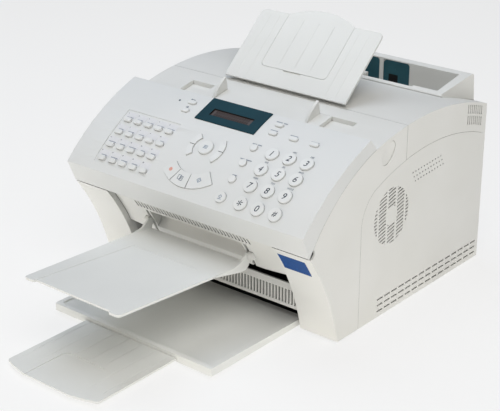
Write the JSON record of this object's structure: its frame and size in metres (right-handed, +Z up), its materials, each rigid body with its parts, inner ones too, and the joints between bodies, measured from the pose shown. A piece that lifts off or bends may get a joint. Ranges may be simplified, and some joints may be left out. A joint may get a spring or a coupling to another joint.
{
  "type": "laser fax machine",
  "caption": "Desktop laser fax machine with a hinged curved control panel, tilted document tray, rear sheet feeder and two front trays.",
  "frame": {"origin": "centre of the plan outline, on the plane the feet stand on", "axes": "+X to the right seen from the front, +Y to the rear, +Z up"},
  "size_m": [0.4, 0.6366, 0.3451],
  "materials": {
    "case_plastic": "fine moulded texture",
    "panel_plastic": "fine moulded texture",
    "tray_plastic": "fine moulded texture",
    "key_plastic": "satin",
    "bezel_plastic": "gloss",
    "display_glass": "gloss",
    "pad_plastic": "satin",
    "rubber": "matt",
    "steel": "brushed",
    "dark_plastic": "satin",
    "board": "satin"
  },
  "bodies": {
    "machine": {"main_frame": "dark_plastic", "left_side_cover": "case_plastic", "right_side_cover": "case_plastic", "front_frame": "case_plastic", "front_cover": "case_plastic", "front_grille": "case_plastic", "top_cover": "case_plastic", "rear_cover": "case_plastic", "sheet_feeder": "case_plastic", "feeder_pads": "pad_plastic", "document_tray": "tray_plastic", "output_tray": "tray_plastic", "feet": "rubber", "case_screws": "steel", "rear_sockets": "dark_plastic", "main_board": "board", "power_supply": "steel", "cooling_fan": "dark_plastic", "loudspeaker": "dark_plastic", "toner_cartridge": "dark_plastic", "laser_unit": "dark_plastic", "scan_bar": "dark_plastic"},
    "control_panel": {"control_panel": "panel_plastic", "lcd_bezel": "bezel_plastic", "lcd_module": "display_glass"},
    "document_tray_flap": {"document_tray_flap": "tray_plastic"},
    "document_guide_right": {"document_guide_right": "case_plastic"},
    "document_guide_left": {"document_guide_left": "case_plastic"},
    "sheet_guide": {"sheet_guide": "case_plastic"},
    "document_exit_tray": {"document_exit_tray": "tray_plastic"},
    "output_tray_extension": {"output_tray_extension": "tray_plastic"},
    "cover_release": {"cover_release": "case_plastic"},
    "document_roller": {"document_roller": "rubber"},
    "print_exit_roller": {"print_exit_roller": "rubber"},
    "sheet_pickup_roller": {"sheet_pickup_roller": "rubber"},
    "fan_rotor": {"fan_rotor": "dark_plastic"},
    "stop_key": {"stop_key": "key_plastic"},
    "copy_key": {"copy_key": "key_plastic"},
    "start_key": {"start_key": "key_plastic"},
    "menu_key": {"menu_key": "key_plastic"},
    "scroll_keys_left": {"scroll_keys_left": "key_plastic"},
    "scroll_keys_right": {"scroll_keys_right": "key_plastic"},
    "line_key": {"line_key": "key_plastic"},
    "one_touch_row_1": {"one_touch_row_1": "key_plastic"},
    "one_touch_row_2": {"one_touch_row_2": "key_plastic"},
    "one_touch_row_3": {"one_touch_row_3": "key_plastic"},
    "one_touch_row_4": {"one_touch_row_4": "key_plastic"},
    "function_keys": {"function_keys": "key_plastic"},
    "key_star": {"key_star": "key_plastic"},
    "key_0": {"key_0": "key_plastic"},
    "key_hash": {"key_hash": "key_plastic"},
    "key_7": {"key_7": "key_plastic"},
    "key_8": {"key_8": "key_plastic"},
    "key_9": {"key_9": "key_plastic"},
    "key_4": {"key_4": "key_plastic"},
    "key_5": {"key_5": "key_plastic"},
    "key_6": {"key_6": "key_plastic"},
    "key_1": {"key_1": "key_plastic"},
    "key_2": {"key_2": "key_plastic"},
    "key_3": {"key_3": "key_plastic"}
  },
  "joints": [
    {"name": "panel_hinge", "type": "hinge", "parent": "machine", "child": "control_panel", "pos_m": [0, -0.076, 0.1445], "axis": [1, 0, 0], "range_deg": [0, 35]},
    {"name": "tray_flap_hinge", "type": "hinge", "parent": "machine", "child": "document_tray_flap", "pos_m": [0, 0.19733, 0.33172], "axis": [-1, 0, 0], "range_deg": [0, 165]},
    {"name": "guide_right_slide", "type": "slide", "parent": "machine", "child": "document_guide_right", "axis": [1, 0, 0], "range_m": [0, 0.031]},
    {"name": "guide_left_slide", "type": "slide", "parent": "machine", "child": "document_guide_left", "axis": [1, 0, 0], "range_m": [-0.031, 0]},
    {"name": "sheet_guide_slide", "type": "slide", "parent": "machine", "child": "sheet_guide", "axis": [1, 0, 0], "range_m": [0, 0.077]},
    {"name": "exit_tray_hinge", "type": "hinge", "parent": "machine", "child": "document_exit_tray", "pos_m": [0, -0.0545, 0.103], "axis": [-1, 0, 0], "range_deg": [0, 50]},
    {"name": "extension_slide", "type": "slide", "parent": "machine", "child": "output_tray_extension", "axis": [0, 1, 0], "range_m": [0, 0.115]},
    {"name": "release_press", "type": "slide", "parent": "machine", "child": "cover_release", "axis": [-1, 0, 0], "range_m": [0, 0.003], "stiffness_N_per_m": 600},
    {"name": "document_roller_spin", "type": "hinge", "parent": "machine", "child": "document_roller", "pos_m": [0, -0.0105, 0.20286], "axis": [1, 0, 0], "continuous": true},
    {"name": "print_exit_roller_spin", "type": "hinge", "parent": "machine", "child": "print_exit_roller", "pos_m": [0, -0.0045, 0.073], "axis": [1, 0, 0], "continuous": true},
    {"name": "pickup_roller_spin", "type": "hinge", "parent": "machine", "child": "sheet_pickup_roller", "pos_m": [0, 0.2715, 0.215], "axis": [1, 0, 0], "continuous": true},
    {"name": "fan_spin", "type": "hinge", "parent": "machine", "child": "fan_rotor", "pos_m": [0, 0.0925, 0.14], "axis": [1, 0, 0], "continuous": true},
    {"name": "stop_key_press", "type": "slide", "parent": "control_panel", "child": "stop_key", "axis": [0, 0.6636, -0.7481], "range_m": [0, 0.0012], "stiffness_N_per_m": 400},
    {"name": "copy_key_press", "type": "slide", "parent": "control_panel", "child": "copy_key", "axis": [0, 0.6636, -0.7481], "range_m": [0, 0.0012], "stiffness_N_per_m": 400},
    {"name": "start_key_press", "type": "slide", "parent": "control_panel", "child": "start_key", "axis": [0, 0.6636, -0.7481], "range_m": [0, 0.0012], "stiffness_N_per_m": 400},
    {"name": "menu_key_press", "type": "slide", "parent": "control_panel", "child": "menu_key", "axis": [0, 0.55, -0.8352], "range_m": [0, 0.0012], "stiffness_N_per_m": 400},
    {"name": "scroll_keys_left_press", "type": "slide", "parent": "control_panel", "child": "scroll_keys_left", "axis": [0, 0.55, -0.8352], "range_m": [0, 0.0012], "stiffness_N_per_m": 400},
    {"name": "scroll_keys_right_press", "type": "slide", "parent": "control_panel", "child": "scroll_keys_right", "axis": [0, 0.55, -0.8352], "range_m": [0, 0.0012], "stiffness_N_per_m": 400},
    {"name": "line_key_press", "type": "slide", "parent": "control_panel", "child": "line_key", "axis": [0, 0.6908, -0.723], "range_m": [0, 0.0012], "stiffness_N_per_m": 400},
    {"name": "one_touch_row_1_press", "type": "slide", "parent": "control_panel", "child": "one_touch_row_1", "axis": [0, 0.6873, -0.7264], "range_m": [0, 0.0012], "stiffness_N_per_m": 400},
    {"name": "one_touch_row_2_press", "type": "slide", "parent": "control_panel", "child": "one_touch_row_2", "axis": [0, 0.638, -0.77], "range_m": [0, 0.0012], "stiffness_N_per_m": 400},
    {"name": "one_touch_row_3_press", "type": "slide", "parent": "control_panel", "child": "one_touch_row_3", "axis": [0, 0.5859, -0.8103], "range_m": [0, 0.0012], "stiffness_N_per_m": 400},
    {"name": "one_touch_row_4_press", "type": "slide", "parent": "control_panel", "child": "one_touch_row_4", "axis": [0, 0.5314, -0.8471], "range_m": [0, 0.0012], "stiffness_N_per_m": 400},
    {"name": "function_keys_press", "type": "slide", "parent": "control_panel", "child": "function_keys", "axis": [0, 0.4979, -0.8673], "range_m": [0, 0.0012], "stiffness_N_per_m": 400},
    {"name": "key_star_press", "type": "slide", "parent": "control_panel", "child": "key_star", "axis": [0, 0.6908, -0.723], "range_m": [0, 0.0012], "stiffness_N_per_m": 400},
    {"name": "key_0_press", "type": "slide", "parent": "control_panel", "child": "key_0", "axis": [0, 0.6908, -0.723], "range_m": [0, 0.0012], "stiffness_N_per_m": 400},
    {"name": "key_hash_press", "type": "slide", "parent": "control_panel", "child": "key_hash", "axis": [0, 0.6908, -0.723], "range_m": [0, 0.0012], "stiffness_N_per_m": 400},
    {"name": "key_7_press", "type": "slide", "parent": "control_panel", "child": "key_7", "axis": [0, 0.6317, -0.7752], "range_m": [0, 0.0012], "stiffness_N_per_m": 400},
    {"name": "key_8_press", "type": "slide", "parent": "control_panel", "child": "key_8", "axis": [0, 0.6317, -0.7752], "range_m": [0, 0.0012], "stiffness_N_per_m": 400},
    {"name": "key_9_press", "type": "slide", "parent": "control_panel", "child": "key_9", "axis": [0, 0.6317, -0.7752], "range_m": [0, 0.0012], "stiffness_N_per_m": 400},
    {"name": "key_4_press", "type": "slide", "parent": "control_panel", "child": "key_4", "axis": [0, 0.5686, -0.8226], "range_m": [0, 0.0012], "stiffness_N_per_m": 400},
    {"name": "key_5_press", "type": "slide", "parent": "control_panel", "child": "key_5", "axis": [0, 0.5686, -0.8226], "range_m": [0, 0.0012], "stiffness_N_per_m": 400},
    {"name": "key_6_press", "type": "slide", "parent": "control_panel", "child": "key_6", "axis": [0, 0.5686, -0.8226], "range_m": [0, 0.0012], "stiffness_N_per_m": 400},
    {"name": "key_1_press", "type": "slide", "parent": "control_panel", "child": "key_1", "axis": [0, 0.502, -0.8649], "range_m": [0, 0.0012], "stiffness_N_per_m": 400},
    {"name": "key_2_press", "type": "slide", "parent": "control_panel", "child": "key_2", "axis": [0, 0.502, -0.8649], "range_m": [0, 0.0012], "stiffness_N_per_m": 400},
    {"name": "key_3_press", "type": "slide", "parent": "control_panel", "child": "key_3", "axis": [0, 0.502, -0.8649], "range_m": [0, 0.0012], "stiffness_N_per_m": 400}
  ],
  "couplings": [
    {"joint": "guide_left_slide", "follows": "guide_right_slide", "ratio": -1}
  ]
}
